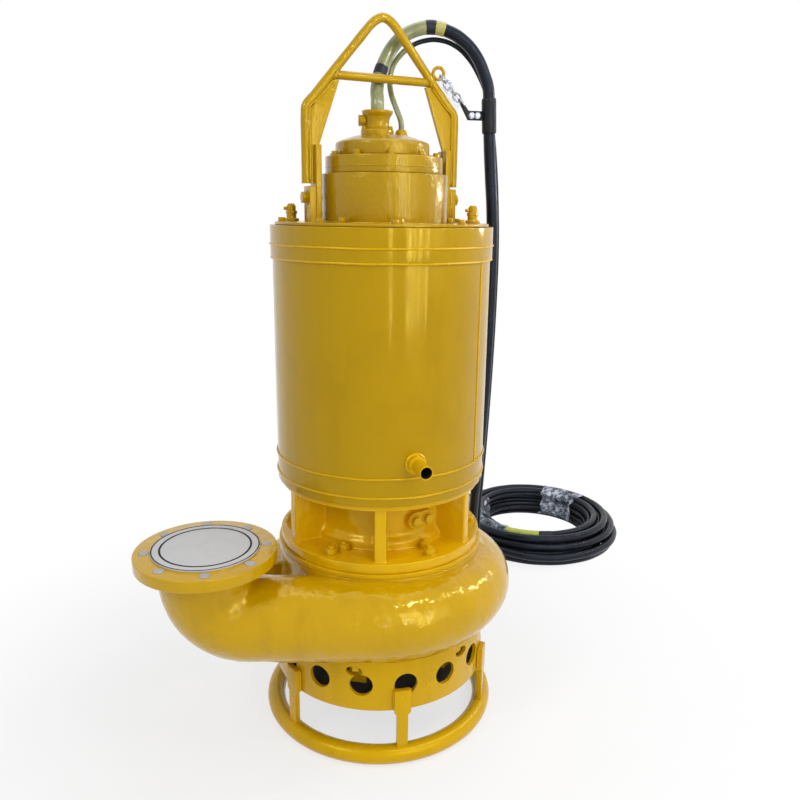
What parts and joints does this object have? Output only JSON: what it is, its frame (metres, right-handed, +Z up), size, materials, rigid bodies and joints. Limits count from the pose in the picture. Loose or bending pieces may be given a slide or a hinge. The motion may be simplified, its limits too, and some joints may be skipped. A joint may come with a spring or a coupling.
{
  "type": "submersible slurry pump",
  "caption": "Upright submersible slurry pump on a foot ring: round-holed strainer, spiral casing with an upturned flanged outlet, tall cooling jacket, bent lifting bail and a coiled cable.",
  "frame": {"origin": "middle of the whole pump's footprint, without its cables, on the floor under the foot ring", "axes": "+Z up along the pump's shaft, -Y towards the front, where the straight run of the outlet pipe passes, and -X towards the outlet flange"},
  "size_m": [1.332, 1.6315, 1.5323],
  "materials": {
    "yellow_paint": "thick glossy paint with a slight orange-peel texture",
    "hard_iron": "bare hard iron, matt",
    "bright_steel": "machined or zinc-plated steel",
    "stator_steel": "stacked sheets, dull",
    "winding_copper": null,
    "cover_plastic": "thin light grey sheet",
    "seal_carbon": "carbon seal face",
    "dark_steel": "black paint",
    "cable_rubber": "smooth black rubber"
  },
  "bodies": {
    "pump": {"foot_ring": "yellow_paint", "strainer_leg_1": "yellow_paint", "strainer_leg_2": "yellow_paint", "strainer_leg_3": "yellow_paint", "strainer_leg_4": "yellow_paint", "strainer_leg_5": "yellow_paint", "strainer_leg_6": "yellow_paint", "strainer_basket": "yellow_paint", "suction_cover": "hard_iron", "volute_casing": "yellow_paint", "outlet_cover": "cover_plastic", "back_plate": "yellow_paint", "seal_seat": "seal_carbon", "bracket_housing": "yellow_paint", "oil_cover_plate": "yellow_paint", "oil_plug_left": "yellow_paint", "oil_plug_right": "yellow_paint", "lower_bearing_outer_race": "bright_steel", "upper_bearing_outer_race": "bright_steel", "cooling_jacket": "yellow_paint", "upper_jacket_band": "yellow_paint", "drain_nipple": "yellow_paint", "motor_housing": "hard_iron", "stator_core": "stator_steel", "lower_winding": "winding_copper", "upper_winding": "winding_copper", "motor_top_cover": "yellow_paint", "left_cover_plug": "yellow_paint", "right_cover_plug": "yellow_paint", "terminal_chamber": "yellow_paint", "chamber_lid": "yellow_paint", "terminal_cap": "yellow_paint", "cable_gland": "yellow_paint", "control_gland": "yellow_paint", "lifting_bail": "yellow_paint", "bail_crossbar": "yellow_paint", "bail_side_plate_left": "yellow_paint", "bail_side_plate_right": "yellow_paint", "bail_bolt_left": "yellow_paint", "bail_bolt_right": "yellow_paint", "bail_eye": "yellow_paint", "chain_link_1": "bright_steel", "chain_link_2": "bright_steel", "chain_link_3": "bright_steel", "chain_link_4": "bright_steel", "chain_link_5": "bright_steel", "cable_clamp": "dark_steel", "power_cable": "cable_rubber", "control_cable": "cable_rubber", "cable_coil": "cable_rubber"},
    "rotor": {"shaft": "bright_steel", "impeller": "hard_iron", "agitator": "hard_iron", "agitator_nut": "bright_steel", "seal_ring": "bright_steel", "rotor_core": "stator_steel", "lower_bearing_inner_race": "bright_steel", "upper_bearing_inner_race": "bright_steel"},
    "lower_cage": {"lower_bearing_balls": "bright_steel"},
    "upper_cage": {"upper_bearing_balls": "bright_steel"}
  },
  "joints": [
    {"name": "rotor_spin", "type": "hinge", "parent": "pump", "child": "rotor", "pos_m": [0.0938, 0.0417, 0.5], "axis": [0, 0, 1], "continuous": true},
    {"name": "lower_cage_spin", "type": "hinge", "parent": "pump", "child": "lower_cage", "pos_m": [0.0938, 0.0417, 0.5315], "axis": [0, 0, 1], "continuous": true},
    {"name": "upper_cage_spin", "type": "hinge", "parent": "pump", "child": "upper_cage", "pos_m": [0.0938, 0.0417, 1.079], "axis": [0, 0, 1], "continuous": true}
  ],
  "couplings": [
    {"joint": "lower_cage_spin", "follows": "rotor_spin", "ratio": 0.425},
    {"joint": "upper_cage_spin", "follows": "rotor_spin", "ratio": 0.4239}
  ]
}
